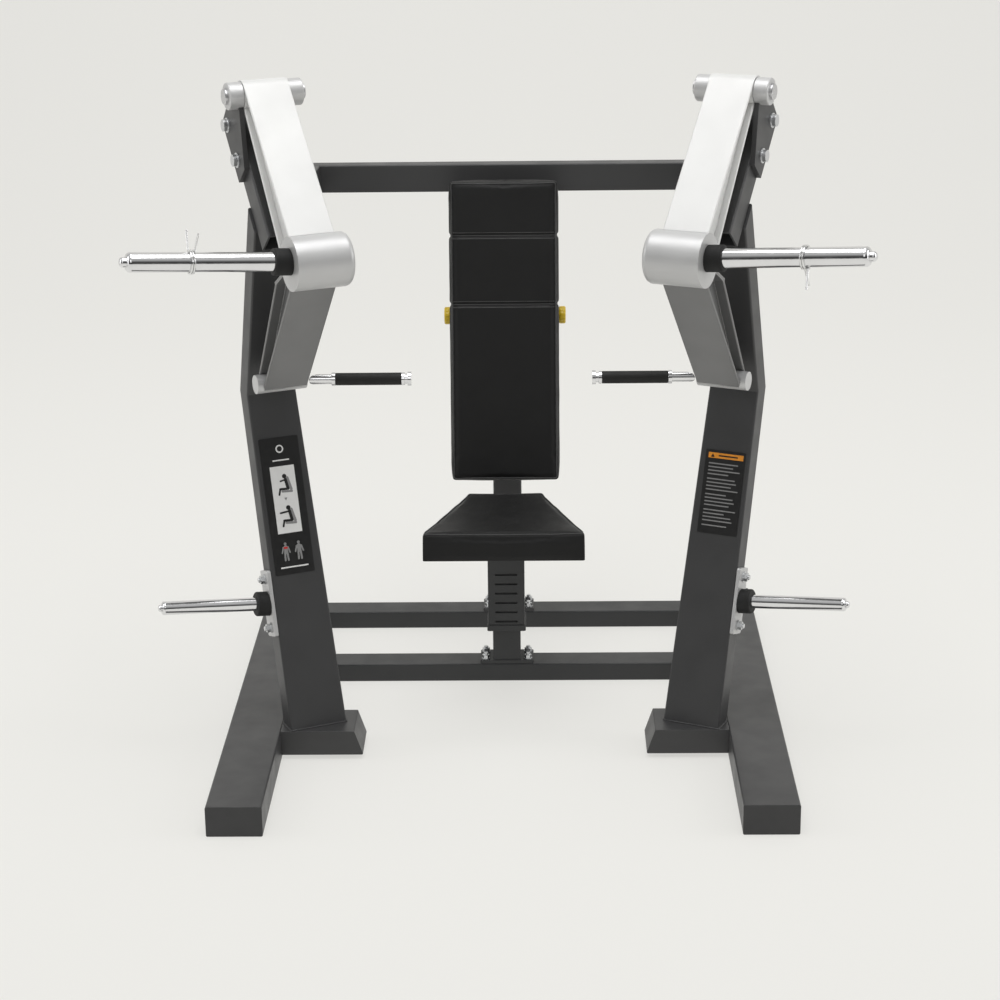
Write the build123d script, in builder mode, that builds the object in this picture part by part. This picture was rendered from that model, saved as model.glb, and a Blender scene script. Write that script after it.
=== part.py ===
from build123d import *
import math
import os

# Plate-loaded chest press machine, modelled in millimetres.
# +Z is up, +Y runs to the back of the machine and the user faces -Y.
# The origin is on the floor, in the middle of the footprint.
# The left side is modelled and mirrored about the YZ plane where both sides are alike.

# ---- base frame ----
RAIL_W, RAIL_H, RAIL_L = 135.0, 76.0, 1480.0
RAIL_X = 635.0            # centre line of each floor rail
RAIL_WALL = 4.0
CAP_T = 5.0               # end caps and cover plates
FOOT_TUBE_Z = (12.0, 76.0)
FOOT_TUBE_Y = (-296.0, -156.0)
FOOT_TUBE_IN = (381.0, 359.0)     # |x| of the mitred inner end, top and bottom
BAR_D, BAR_H = 85.0, 50.0
FRONT_BAR_Y, BACK_BAR_Y = 262.5, 668.0
FOOT_PLATE_T = 10.0

# ---- upright side frames: drawn in their own plane, u forward and z up ----
YAW = 25.0                # the side frames turn inwards, towards the user
FOOT_X, FOOT_Y = -481.0, -267.0
POST_W, POST_WALL = 130.0, 4.0
POST_FOOT_IN, POST_KNEE_Z = 85.0, 899.0   # the inboard side leans out to this at the foot
POST_SIDE = [(0, 76), (-62, 76), (-300, 899), (-170, 1388), (-125, 1335), (-240, 899)]
POST_HOLLOW = [(-6, 70), (-56, 70), (-295, 899), (-172, 1380), (-131, 1334), (-246, 899)]
BOOM_DIR = (0.650, -0.760)        # down and forward, along the top boom
BOOM_REAR = (-91.0, 1296.0)       # rear corner of its free end
BOOM_L, BOOM_D, BOOM_W, BOOM_WALL = 365.0, 70.0, 117.0, 5.0

# ---- press arm, in the same plane ----
PIVOT, ELBOW, GRIP_PT = (-207.0, 1655.0), (107.0, 1303.0), (-150.0, 950.0)
ARM_W = 115.0
PIVOT_R, PIVOT_BORE_R, WRAP_R = 32.0, 20.0, 36.0
AXLE_R, AXLE_HEAD_R, AXLE_HEAD_T, RUN_GAP = 12.0, 20.0, 8.0, 0.05
BEARING_L = 22.0
DRUM_R, DRUM_WALL = 65.0, 8.0
DRUM_W = (-58.0, 86.0)            # across the arm; negative is outboard
PLATE_T = 8.0
UPPER_FRONT, UPPER_REAR = (36.0, 42.0), (-6.0, -49.0)   # plate offsets at each end
LOWER_FRONT, LOWER_REAR = (38.0, 23.5), (-64.0, -23.5)
ROLL_R = 3.5                      # rolled edges of the arm plates
LOWER_TOP = (-9.5, 1236.0)        # top corner of the lower arm's rear plate
UPPER_WEB, LOWER_WEB = 42.0, 32.0                        # web planes, from the middle
CROSS_R = 23.5
CHEEK_T = 12.0
STOP_BACK, STOP_R, STOP_BASE, STOP_L = 57.0, 22.0, 10.0, 46.0
CHEEK_OUTLINE = [(190, 6), (362, 6), (381, 145), (315, 145), (190, 66)]   # back, out
CHEEK_BOLTS, CHEEK_BOLT_R = [(235, 36), (335, 36)], 8.0
BOSS_R, BOSS_END = 33.0, 94.0
HORN_R, HORN_SHANK_R, HORN_END = 23.5, 14.0, 452.0
HORN_TILT, HORN_ROUND, HORN_TIP_R, HORN_TIP_L = 5.5, 10.0, 12.0, 15.0
HORN_BUMPER_R, HORN_BUMPER = 32.0, (50.0, 100.0)
COLLAR_AT, WIRE_R, COLLAR_PITCH = 292.0, 2.6, 5.6
COLLAR_R, COLLAR_TURNS = HORN_R + 0.5 + WIRE_R, 2 + 32 / 360    # wire centre line
PRONG_SPREAD, PRONG_LEAN, PRONG_L = 16.0, 7.0, 50.0      # degrees, degrees, length
HANDLE_R, GRIP_R = 12.5, 15.5
HANDLE_X = (-468.0, -246.0, -414.0, -249.0)  # bar start, bar end, grip start, grip end
HANDLE_END_X = -225.0

# ---- storage horns on the posts ----
STORE_Z, STORE_R, STORE_L, STORE_TILT = 383.0, 17.0, 246.0, 6.7
STORE_SHANK_R, STORE_BUMPER_R, STORE_BUMPER_L = 12.0, 31.0, 32.0
STORE_ROUND, STORE_TIP_R = 6.0, 9.0
STORE_PLATE, STORE_BOLT_STEP = (58.0, 168.0, 9.0), 62.0

# ---- seat ----
SEAT_TUBE, SLEEVE_IN, SLEEVE_OUT = 75.0, 77.0, 99.0
SLEEVE_Z = (150.0, 452.0)
SLOT_PITCH, SLOT_COUNT, SLOT_TOP = 27.0, 6, 312.0
SEAT_FRONT, SEAT_DEPTH = (-120.0, 541.0), 400.0   # y and z of the top front edge
SEAT_TILT = 2.6
SEAT_W, SEAT_T = (417.0, 208.0), 74.0
SEAT_PLATE_T = 8.0
LATCH_PIN_Z, LATCH_PIN_R, LATCH_CLEAR = 215.0, 6.0, 0.5
BARREL_R, BARREL_L, SEAT_KNOB_R, SEAT_KNOB_L = 13.0, 20.0, 19.0, 26.0

# ---- backrest ----
BACK_BOTTOM = (320.0, 543.0)      # y and z of the pad's lower front edge
BACK_TILT, BACK_L, BACK_W, BACK_T = 10.0, 809.0, 292.0, 60.0
BOARD_T, CARRIER_W, CARRIER_D, CARRIER_L = 12.0, 60.0, 40.0, 560.0
COLUMN_X, COLUMN_Y, COLUMN_TOP = 80.0, 75.0, 1342.0
TOP_BAR_Z, TOP_BAR_D, TUBE_WALL = (1287.0, 1362.0), 50.0, 4.0
TOP_BAR_HALF, SIDE_ARM_W = 545.0, 46.0
GUIDE_Z, GUIDE_OUT, GUIDE_IN, SLIDE = 905.0, 64.0, 50.8, 50.0
GUIDE_Y = (540.0, 730.0)
LATCH_Y, LATCH_Z, LATCH_R, LOBE_W, LOBE_CLEAR = 555.0, 948.0, 7.0, 12.0, 0.6
KNOB_R, KNOB_X = 24.0, (148.0, 167.0)

os.makedirs("parts", exist_ok=True)

# ---------------------------------------------------------------- helpers
SIN, COS = math.sin(math.radians(YAW)), math.cos(math.radians(YAW))
FORWARD = Vector(SIN, -COS, 0)     # the side frame's u direction
INBOARD = Vector(COS, SIN, 0)      # across the side frame, towards the user
FOOT = Vector(FOOT_X, FOOT_Y, 0)


def side_plane(across=0.0):
    """The side frame's own drawing plane, moved across it; its normal points outboard."""
    return Plane(origin=FOOT + INBOARD * across, x_dir=FORWARD, z_dir=INBOARD * -1)


def at(point, across=0.0):
    """A point of the side frame's plane as a point in space."""
    return FOOT + FORWARD * point[0] + INBOARD * across + Vector(0, 0, point[1])


def save(part, name):
    part.label = name
    export_step(part, f"parts/{name}.step")


def save_pair(part, name):
    """Writes the left piece and its mirror image for the right side."""
    save(part, f"left_{name}")
    with BuildPart() as right:
        mirror(part, about=Plane.YZ)
    save(right.part, f"right_{name}")


def save_both(part, name):
    """Writes the left piece together with its mirror image, as one group."""
    with BuildPart() as both:
        add(part)
        mirror(part, about=Plane.YZ)
    save(both.part, name)


def along(start, end, offset_start, offset_end):
    """A line beside start-end, moved sideways by the two offsets, as two points."""
    du, dz = end[0] - start[0], end[1] - start[1]
    length = math.hypot(du, dz)
    nu, nz = -dz / length, du / length
    return [
        (start[0] + nu * offset_start, start[1] + nz * offset_start),
        (end[0] + nu * offset_end, end[1] + nz * offset_end),
    ]


def plate_profile(start, end, outer, thickness):
    """Four corners of a plate whose outer face lies along the given offsets."""
    face = along(start, end, *outer)
    back = along(start, end, outer[0] - thickness, outer[1] - thickness)
    return face + back[::-1]


def block(x, y, z):
    """A plain box between the given limits on each axis."""
    size = [abs(v[1] - v[0]) for v in (x, y, z)]
    middle = [(v[1] + v[0]) / 2 for v in (x, y, z)]
    return Pos(*middle) * Box(*size, mode=Mode.PRIVATE)


def rod(start, direction, radius, length):
    """A plain cylinder from a point along a direction."""
    return Plane(origin=start, z_dir=direction) * Cylinder(
        radius, length, align=(Align.CENTER, Align.CENTER, Align.MIN), mode=Mode.PRIVATE
    )


def hex_bolt(start, direction, shank_r, grip, head_r=None):
    """A bolt with its head, washer and nut around a grip length, as one turned piece."""
    head_r = head_r or shank_r * 1.85
    washer, head = 2.5, shank_r * 1.3
    outline = [
        (0, -head - washer), (head_r, -head - washer), (head_r, -washer),
        (head_r * 1.25, -washer), (head_r * 1.25, 0), (shank_r, 0), (shank_r, grip),
        (head_r * 1.25, grip), (head_r * 1.25, grip + washer), (head_r, grip + washer),
        (head_r, grip + washer + head), (shank_r, grip + washer + head),
        (shank_r, grip + washer + head * 1.7), (0, grip + washer + head * 1.7),
    ]
    with BuildPart(mode=Mode.PRIVATE) as bolt:
        with BuildSketch(Plane.XZ):
            with BuildLine():
                Polyline(*outline, close=True)
            make_face()
        revolve(axis=Axis.Z)
    return Plane(origin=start, z_dir=direction) * bolt.part


# ---------------------------------------------------------------- floor frame
with BuildPart() as rail:
    with BuildSketch(Plane.XZ.offset(-RAIL_L / 2 + CAP_T)):
        with Locations((-RAIL_X, RAIL_H / 2)):
            RectangleRounded(RAIL_W, RAIL_H, 4)
            RectangleRounded(
                RAIL_W - 2 * RAIL_WALL, RAIL_H - 2 * RAIL_WALL, 2, mode=Mode.SUBTRACT
            )
    extrude(amount=RAIL_L - 2 * CAP_T)
save_pair(rail.part, "base_rail")

column_front = BACK_BAR_Y - COLUMN_Y / 2
bar_middle = (column_front - TOP_BAR_D / 2, sum(TOP_BAR_Z) / 2)
bar_height = TOP_BAR_Z[1] - TOP_BAR_Z[0]
with BuildPart() as caps:
    for y in (-RAIL_L / 2 + CAP_T, RAIL_L / 2):
        with BuildSketch(Plane.XZ.offset(-y)):
            with Locations((-RAIL_X, RAIL_H / 2), (RAIL_X, RAIL_H / 2)):
                RectangleRounded(RAIL_W, RAIL_H, 4)
        extrude(amount=CAP_T)
    for x in (-TOP_BAR_HALF, TOP_BAR_HALF - CAP_T):
        with BuildSketch(Plane.YZ.offset(x)):
            with Locations(bar_middle):
                RectangleRounded(TOP_BAR_D, bar_height, 4)
        extrude(amount=CAP_T)
    with BuildSketch(Plane.XY.offset(COLUMN_TOP - CAP_T)):
        with Locations((0, BACK_BAR_Y)):
            RectangleRounded(COLUMN_X, COLUMN_Y, 5)
    extrude(amount=CAP_T)
save(caps.part, "tube_end_caps")

with BuildPart() as foot_tube:
    rail_side = -(RAIL_X - RAIL_W / 2)
    with BuildSketch(Plane.XZ.offset(-FOOT_TUBE_Y[1])):
        with BuildLine():
            Polyline(
                (rail_side, FOOT_TUBE_Z[0]), (-FOOT_TUBE_IN[1], FOOT_TUBE_Z[0]),
                (-FOOT_TUBE_IN[0], FOOT_TUBE_Z[1]), (rail_side, FOOT_TUBE_Z[1]), close=True,
            )
        make_face()
    extrude(amount=FOOT_TUBE_Y[1] - FOOT_TUBE_Y[0])
    fillet(foot_tube.edges().filter_by(Axis.Y).sort_by(Axis.X)[2:], 3)
    with BuildSketch(Plane.XZ.offset(-FOOT_TUBE_Y[1] + TUBE_WALL)):
        with BuildLine():
            Polyline(
                (rail_side, FOOT_TUBE_Z[0] + TUBE_WALL),
                (-FOOT_TUBE_IN[1] - TUBE_WALL, FOOT_TUBE_Z[0] + TUBE_WALL),
                (-FOOT_TUBE_IN[0] - TUBE_WALL, FOOT_TUBE_Z[1] - TUBE_WALL),
                (rail_side, FOOT_TUBE_Z[1] - TUBE_WALL), close=True,
            )
        make_face()
    extrude(amount=FOOT_TUBE_Y[1] - FOOT_TUBE_Y[0] - 2 * TUBE_WALL, mode=Mode.SUBTRACT)
save_both(foot_tube.part, "foot_tubes")


def base_bar(middle_y):
    with BuildPart(mode=Mode.PRIVATE) as bar:
        half = RAIL_X - RAIL_W / 2
        with BuildSketch(Plane.YZ.offset(-half)):
            with Locations((middle_y, BAR_H / 2)):
                RectangleRounded(BAR_D, BAR_H, 4)
                RectangleRounded(BAR_D - 6, BAR_H - 6, 2, mode=Mode.SUBTRACT)
        extrude(amount=2 * half)
    return bar.part


save(base_bar(FRONT_BAR_Y), "front_base_bar")
save(base_bar(BACK_BAR_Y), "back_base_bar")

# ---------------------------------------------------------------- posts and booms
def tapered_post(outline, wall):
    """The side outline carried across the post, leaning out at the foot on its inboard side."""
    outboard, knee_in, foot_in = POST_W / 2 - wall, POST_W / 2 - wall, POST_FOOT_IN - wall
    with BuildPart(mode=Mode.PRIVATE) as body:
        with BuildSketch(side_plane(foot_in)):
            with BuildLine():
                Polyline(*outline, close=True)
            make_face()
        extrude(amount=foot_in + outboard)
        with BuildSketch(Plane(origin=FOOT - FORWARD * 600, x_dir=INBOARD, z_dir=FORWARD)):
            with BuildLine():
                Polyline((foot_in, POST_SIDE[0][1]), (knee_in, POST_KNEE_Z), (knee_in, 1500),
                         (200, 1500), (200, POST_SIDE[0][1]), close=True)
            make_face()
        extrude(amount=1200, mode=Mode.SUBTRACT)
    return body.part


with BuildPart() as post:
    add(tapered_post(POST_SIDE, 0))
    fillet(post.edges().filter_by(lambda e: e.length > 400), 5)
    add(tapered_post(POST_HOLLOW, POST_WALL), mode=Mode.SUBTRACT)
save_pair(post.part, "post")

boom_n = (-BOOM_DIR[1], BOOM_DIR[0])


def boom_point(back, out):
    """A point of the boom: back along it from the free end, out from its rear face."""
    return (
        BOOM_REAR[0] - BOOM_DIR[0] * back + boom_n[0] * out,
        BOOM_REAR[1] - BOOM_DIR[1] * back + boom_n[1] * out,
    )


CHEEK_BOLT_SPOTS = [boom_point(*spot) for spot in CHEEK_BOLTS]
with BuildPart() as boom:
    with BuildSketch(side_plane(BOOM_W / 2)):
        with BuildLine():
            Polyline(boom_point(0, 0), boom_point(BOOM_L, 0), boom_point(BOOM_L, BOOM_D),
                     boom_point(0, BOOM_D), close=True)
        make_face()
    extrude(amount=BOOM_W)
    fillet(boom.edges().filter_by(lambda e: e.length > BOOM_L - 1), 5)
    with BuildSketch(side_plane(BOOM_W / 2 - BOOM_WALL)):
        with BuildLine():
            Polyline(boom_point(-1, BOOM_WALL), boom_point(BOOM_L - BOOM_WALL, BOOM_WALL),
                     boom_point(BOOM_L - BOOM_WALL, BOOM_D - BOOM_WALL),
                     boom_point(-1, BOOM_D - BOOM_WALL), close=True)
        make_face()
    extrude(amount=BOOM_W - 2 * BOOM_WALL, mode=Mode.SUBTRACT)
    with BuildSketch(side_plane(BOOM_W)):
        with Locations(*CHEEK_BOLT_SPOTS):
            Circle(CHEEK_BOLT_R)
    extrude(amount=2 * BOOM_W, mode=Mode.SUBTRACT)
save_pair(boom.part, "top_boom")

# ---------------------------------------------------------------- pivot bracket
cheek_in = BOOM_W / 2
cheek_out = cheek_in + CHEEK_T
with BuildPart() as cheeks:
    for start in (cheek_out, -cheek_in):
        with BuildSketch(side_plane(start)):
            with BuildLine():
                Polyline(*[boom_point(*corner) for corner in CHEEK_OUTLINE], close=True)
            make_face()
            with Locations(PIVOT):
                Circle(BOSS_R, mode=Mode.SUBTRACT)
            with Locations(*CHEEK_BOLT_SPOTS):
                Circle(CHEEK_BOLT_R, mode=Mode.SUBTRACT)
        extrude(amount=CHEEK_T)
save_both(cheeks.part, "pivot_cheeks")

with BuildPart() as bosses:
    for start in (BOSS_END, -cheek_in):
        with BuildSketch(side_plane(start)):
            with Locations(PIVOT):
                Circle(BOSS_R)
                Circle(AXLE_R, mode=Mode.SUBTRACT)
        extrude(amount=BOSS_END - cheek_in)
    rims = bosses.edges().filter_by(GeomType.CIRCLE).group_by(SortBy.RADIUS)[-1]
    fillet(rims.sort_by(Axis(FOOT, INBOARD))[::3], 3)
save_both(bosses.part, "pivot_bosses")

with BuildPart() as axle:
    with BuildSketch(side_plane(BOSS_END)):
        with Locations(PIVOT):
            Circle(AXLE_R)
    extrude(amount=2 * BOSS_END)
    for start in (BOSS_END + AXLE_HEAD_T, -BOSS_END):
        with BuildSketch(side_plane(start)):
            with Locations(PIVOT):
                Circle(AXLE_HEAD_R)
        extrude(amount=AXLE_HEAD_T)
    heads = axle.edges().filter_by(GeomType.CIRCLE).group_by(SortBy.RADIUS)[-1]
    chamfer(heads.sort_by(Axis(FOOT, INBOARD))[::3], 2)
save_both(axle.part, "pivot_axles")

cheek_bolt = [
    hex_bolt(at(spot, -cheek_out), INBOARD, CHEEK_BOLT_R, 2 * cheek_out)
    for spot in CHEEK_BOLT_SPOTS
]
with BuildPart() as cheek_bolts:
    add(cheek_bolt)
save_both(cheek_bolts.part, "cheek_bolts")

# ---------------------------------------------------------------- press arm
with BuildPart() as pivot_tube:
    with BuildSketch(side_plane(ARM_W / 2)):
        with Locations(PIVOT):
            Circle(PIVOT_R)
            Circle(PIVOT_BORE_R, mode=Mode.SUBTRACT)
    extrude(amount=ARM_W)
save_pair(pivot_tube.part, "arm_pivot_tube")

with BuildPart() as bearings:
    for start in (ARM_W / 2, -ARM_W / 2 + BEARING_L):
        with BuildSketch(side_plane(start)):
            with Locations(PIVOT):
                Circle(PIVOT_BORE_R)
                Circle(AXLE_R + RUN_GAP, mode=Mode.SUBTRACT)
        extrude(amount=BEARING_L)
save_pair(bearings.part, "arm_bearings")

pivot_space = rod(at(PIVOT, -ARM_W), INBOARD, PIVOT_R, 2 * ARM_W)
drum_space = rod(at(ELBOW, -2 * ARM_W), INBOARD, DRUM_R, 4 * ARM_W)
cross_space = rod(at(GRIP_PT, -2 * ARM_W), INBOARD, CROSS_R, 4 * ARM_W)


def web_profile(start, end, front, rear):
    """The space between a front and a rear plate."""
    top = along(start, end, front[0] - PLATE_T, front[1] - PLATE_T)
    low = along(start, end, rear[0] + PLATE_T, rear[1] + PLATE_T)
    return top + low[::-1]


def start_to_end(start, end):
    return at(end) - at(start)


def folded_arm(start, end, front, rear, web_at, cutters):
    """Front and rear plates on two recessed webs, cut back to the tubes they meet."""
    with BuildPart(mode=Mode.PRIVATE) as arm:
        for profile in (
            plate_profile(start, end, front, PLATE_T),
            plate_profile(start, end, (rear[0] + PLATE_T, rear[1] + PLATE_T), PLATE_T),
        ):
            with BuildSketch(side_plane(ARM_W / 2)):
                with BuildLine():
                    Polyline(*profile, close=True)
                make_face()
            extrude(amount=ARM_W)
        run = start_to_end(start, end).length * 0.5
        fillet(arm.edges().filter_by(lambda e: e.length > run and e.geom_type == GeomType.LINE),
               ROLL_R)
        for across in (web_at, -web_at + 5):
            with BuildSketch(side_plane(across)):
                with BuildLine():
                    Polyline(*web_profile(start, end, front, rear), close=True)
                make_face()
            extrude(amount=5)
        for cutter in cutters:
            add(cutter, mode=Mode.SUBTRACT)
    return arm.part


upper = folded_arm(PIVOT, ELBOW, UPPER_FRONT, UPPER_REAR, UPPER_WEB,
                   [pivot_space, drum_space])
with BuildPart() as upper_arm:
    with BuildSketch(side_plane(ARM_W / 2)):
        with Locations(PIVOT):
            Circle(WRAP_R)
            Circle(PIVOT_R, mode=Mode.SUBTRACT)
        with BuildLine():
            Polyline(*along(PIVOT, ELBOW, -60, -60),
                     *along(PIVOT, ELBOW, 0, 0)[::-1], close=True)
        make_face(mode=Mode.SUBTRACT)
    extrude(amount=ARM_W)
    for solid in upper.solids():
        if solid.volume > 20000:
            add(solid)
save_pair(upper_arm.part, "upper_arm")

lower = folded_arm(ELBOW, GRIP_PT, LOWER_FRONT, LOWER_REAR, LOWER_WEB,
                   [drum_space, cross_space])
beyond = (2 * LOWER_TOP[0] - ELBOW[0], 2 * LOWER_TOP[1] - ELBOW[1])
with BuildPart() as lower_arm:
    for solid in lower.solids():
        if solid.volume > 20000:
            add(solid)
    with BuildSketch(side_plane(ARM_W)):
        with BuildLine():
            Polyline(ELBOW, beyond, (beyond[0], ELBOW[1] + 200), (ELBOW[0], ELBOW[1] + 200),
                     close=True)
        make_face()
    extrude(amount=2 * ARM_W, mode=Mode.SUBTRACT)
    with BuildSketch(side_plane(ARM_W / 2)):
        with BuildLine():
            Polyline(*plate_profile(LOWER_TOP, ELBOW, (0, 0), PLATE_T), close=True)
        make_face()
    extrude(amount=ARM_W)
    add(drum_space, mode=Mode.SUBTRACT)
save_pair(lower_arm.part, "lower_arm")

horn_dir = INBOARD * -math.cos(math.radians(HORN_TILT)) + Vector(
    0, 0, math.sin(math.radians(HORN_TILT))
)
with BuildPart() as drum:
    with BuildSketch(side_plane(DRUM_W[1])):
        with Locations(ELBOW):
            Circle(DRUM_R)
    extrude(amount=DRUM_W[1] - DRUM_W[0])
    ends = drum.edges().filter_by(GeomType.CIRCLE).sort_by(Axis(FOOT, INBOARD))
    fillet(ends[-1], 14)
    with BuildSketch(side_plane(DRUM_W[1] - DRUM_WALL)):
        with Locations(ELBOW):
            Circle(DRUM_R - DRUM_WALL)
    extrude(amount=DRUM_W[1] - DRUM_W[0] - 2 * DRUM_WALL, mode=Mode.SUBTRACT)
    add(rod(at(ELBOW), horn_dir, HORN_SHANK_R, 100), mode=Mode.SUBTRACT)
save_pair(drum.part, "elbow_drum")

with BuildPart() as cross_tube:
    with BuildSketch(side_plane(ARM_W / 2)):
        with Locations(GRIP_PT):
            Circle(CROSS_R)
            Circle(CROSS_R - 5, mode=Mode.SUBTRACT)
    extrude(amount=ARM_W + 14)
    with BuildSketch(side_plane(-ARM_W / 2 - 9)):
        with Locations(GRIP_PT):
            Circle(CROSS_R - 5)
    extrude(amount=5)
save_pair(cross_tube.part, "handle_cross_tube")

handle_y, handle_z = at(GRIP_PT, 40).Y, GRIP_PT[1]
with BuildPart() as handle:
    with BuildSketch(Plane.YZ.offset(HANDLE_X[0] - 40)):
        with Locations((handle_y, handle_z)):
            Circle(HANDLE_R)
    extrude(amount=HANDLE_END_X - 6 - HANDLE_X[0] + 40)
    for start, length, radius in (
        (HANDLE_X[2] - 9, 9, GRIP_R + 1.5),
        (HANDLE_X[3], 8, GRIP_R + 0.5),
        (HANDLE_END_X - 9, 9, GRIP_R + 2.0),
    ):
        with BuildSketch(Plane.YZ.offset(start)):
            with Locations((handle_y, handle_z)):
                Circle(radius)
        extrude(amount=length)
    add(cross_space, mode=Mode.SUBTRACT)
    add(lower_arm.part, mode=Mode.SUBTRACT)
with BuildPart() as handle_bar:
    add(handle.solids().sort_by(Axis.X)[-1])
save_pair(handle_bar.part, "handle_bar")

with BuildPart() as grip:
    with BuildSketch(Plane.YZ.offset(HANDLE_X[2])):
        with Locations((handle_y, handle_z)):
            Circle(GRIP_R)
            Circle(HANDLE_R, mode=Mode.SUBTRACT)
    extrude(amount=HANDLE_X[3] - HANDLE_X[2])
    fillet(grip.edges().filter_by(GeomType.CIRCLE).group_by(SortBy.RADIUS)[-1], 2)
save_pair(grip.part, "handle_grip")


def horn_plane(distance):
    """A plane across the weight horn, that far out from the elbow's centre."""
    return Plane(origin=at(ELBOW) + horn_dir * distance, x_dir=FORWARD, z_dir=horn_dir)


with BuildPart() as horn_bumper:
    with BuildSketch(horn_plane(HORN_BUMPER[0])):
        Circle(HORN_BUMPER_R)
        Circle(HORN_SHANK_R, mode=Mode.SUBTRACT)
    extrude(amount=HORN_BUMPER[1] - HORN_BUMPER[0])
    outer_rim = horn_bumper.edges().filter_by(GeomType.CIRCLE).group_by(SortBy.RADIUS)[-1]
    fillet(outer_rim.sort_by(Axis(FOOT, INBOARD))[0], 4)
    add(rod(at(ELBOW, DRUM_W[0]), INBOARD, 200, 200), mode=Mode.SUBTRACT)
save_pair(horn_bumper.part, "horn_bumper")

with BuildPart() as horn:
    with BuildSketch(horn_plane(30)):
        Circle(HORN_SHANK_R)
    extrude(amount=HORN_BUMPER[1] - 30)
    with BuildSketch(horn_plane(HORN_BUMPER[1])):
        Circle(HORN_R)
    extrude(amount=HORN_END - HORN_BUMPER[1])
    fillet(horn.faces().sort_by(Axis(FOOT, INBOARD))[0].edges(), HORN_ROUND)
    with BuildSketch(horn_plane(HORN_END)):
        Circle(HORN_TIP_R)
    extrude(amount=HORN_TIP_L)
    fillet(horn.faces().sort_by(Axis(FOOT, INBOARD))[0].edges(), HORN_TIP_R * 0.6)
save_pair(horn.part, "weight_horn")

# ---------------------------------------------------------------- spring collars
def spring_collar(prong_dir):
    """A coiled wire collar round the horn; its two squeezed prongs point along prong_dir."""
    with BuildPart() as collar:
        with BuildLine() as coil:
            Helix(COLLAR_PITCH, COLLAR_PITCH * COLLAR_TURNS, COLLAR_R)
        with BuildSketch(Plane(origin=coil.line @ 0, z_dir=coil.line % 0)):
            Circle(WIRE_R)
        sweep(is_frenet=True)
        for end, turn in ((0, -PRONG_LEAN), (1, 360 * COLLAR_TURNS + PRONG_LEAN)):
            outward = Vector(1, 0, 0).rotate(Axis.Z, turn)
            with BuildSketch(Plane(origin=coil.line @ end - outward, z_dir=outward)):
                Circle(WIRE_R * 0.98)
            extrude(amount=PRONG_L)
    seat = Plane(origin=at(ELBOW) + horn_dir * COLLAR_AT, x_dir=prong_dir, z_dir=horn_dir)
    return seat * Rot(0, 0, -PRONG_SPREAD) * collar.part


save(spring_collar((0, 0, 1)), "left_spring_collar")
low_collar = spring_collar((0, 0, -1))
with BuildPart() as right_collar:
    mirror(low_collar, about=Plane.YZ)
save(right_collar.part, "right_spring_collar")

# ---------------------------------------------------------------- arm stops
stop_at = boom_point(STOP_BACK, BOOM_D)
stop_dir = FORWARD * boom_n[0] + Vector(0, 0, boom_n[1])
stop_plane = Plane(origin=at(stop_at), x_dir=INBOARD, z_dir=stop_dir)
with BuildPart() as stop:
    with BuildSketch(stop_plane):
        Circle(STOP_R + 3)
    extrude(amount=STOP_BASE)
    with BuildSketch(stop_plane.offset(STOP_BASE)):
        Circle(STOP_R)
    extrude(amount=STOP_L - STOP_BASE)
    fillet(stop.faces().sort_by(Axis(stop_plane.origin, stop_dir))[-1].edges(), 3)
save_both(stop.part, "arm_stop_bumpers")

# ---------------------------------------------------------------- storage horns
share = (STORE_Z - POST_SIDE[0][1]) / (POST_SIDE[5][1] - POST_SIDE[0][1])
store_u = POST_SIDE[5][0] * share - 30
post_lean = math.degrees(math.atan2(-POST_SIDE[5][0], POST_SIDE[5][1] - POST_SIDE[0][1]))
post_side_w = -POST_W / 2
with BuildPart() as store_plate:
    with BuildSketch(side_plane(post_side_w)):
        with Locations(Location((store_u, STORE_Z), post_lean)):
            RectangleRounded(STORE_PLATE[0], STORE_PLATE[1], 6)
    extrude(amount=STORE_PLATE[2])
plate_face = post_side_w - STORE_PLATE[2]
store_base = at((store_u, STORE_Z), plate_face)
store_dir = INBOARD * -math.cos(math.radians(STORE_TILT)) + Vector(
    0, 0, math.sin(math.radians(STORE_TILT))
)
behind_plate = rod(store_base, INBOARD, 2 * STORE_BUMPER_R, 50)


def store_plane(distance):
    """A plane across the storage horn, that far out from its plate."""
    return Plane(origin=store_base + store_dir * distance, x_dir=FORWARD, z_dir=store_dir)


with BuildPart() as store_horn:
    with BuildSketch(store_plane(-10)):
        Circle(STORE_SHANK_R)
    extrude(amount=10 + STORE_BUMPER_L)
    with BuildSketch(store_plane(STORE_BUMPER_L)):
        Circle(STORE_R)
    extrude(amount=STORE_L)
    fillet(store_horn.faces().sort_by(Axis(FOOT, INBOARD))[0].edges(), STORE_ROUND)
    with BuildSketch(store_plane(STORE_BUMPER_L + STORE_L)):
        Circle(STORE_TIP_R)
    extrude(amount=STORE_TIP_R)
    fillet(store_horn.faces().sort_by(Axis(FOOT, INBOARD))[0].edges(), STORE_TIP_R * 0.6)
    add(behind_plate, mode=Mode.SUBTRACT)
with BuildPart() as store_bumper:
    with BuildSketch(store_plane(-10)):
        Circle(STORE_BUMPER_R)
    extrude(amount=10 + STORE_BUMPER_L)
    fillet(store_bumper.faces().sort_by(Axis(FOOT, INBOARD))[0].edges(), 4)
    with BuildSketch(store_plane(-10)):
        Circle(STORE_SHANK_R)
    extrude(amount=10 + STORE_BUMPER_L, mode=Mode.SUBTRACT)
    add(behind_plate, mode=Mode.SUBTRACT)
save_both(store_plate.part, "storage_plates")
save_both(store_bumper.part, "storage_bumpers")
save_both(store_horn.part, "storage_horns")

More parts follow.
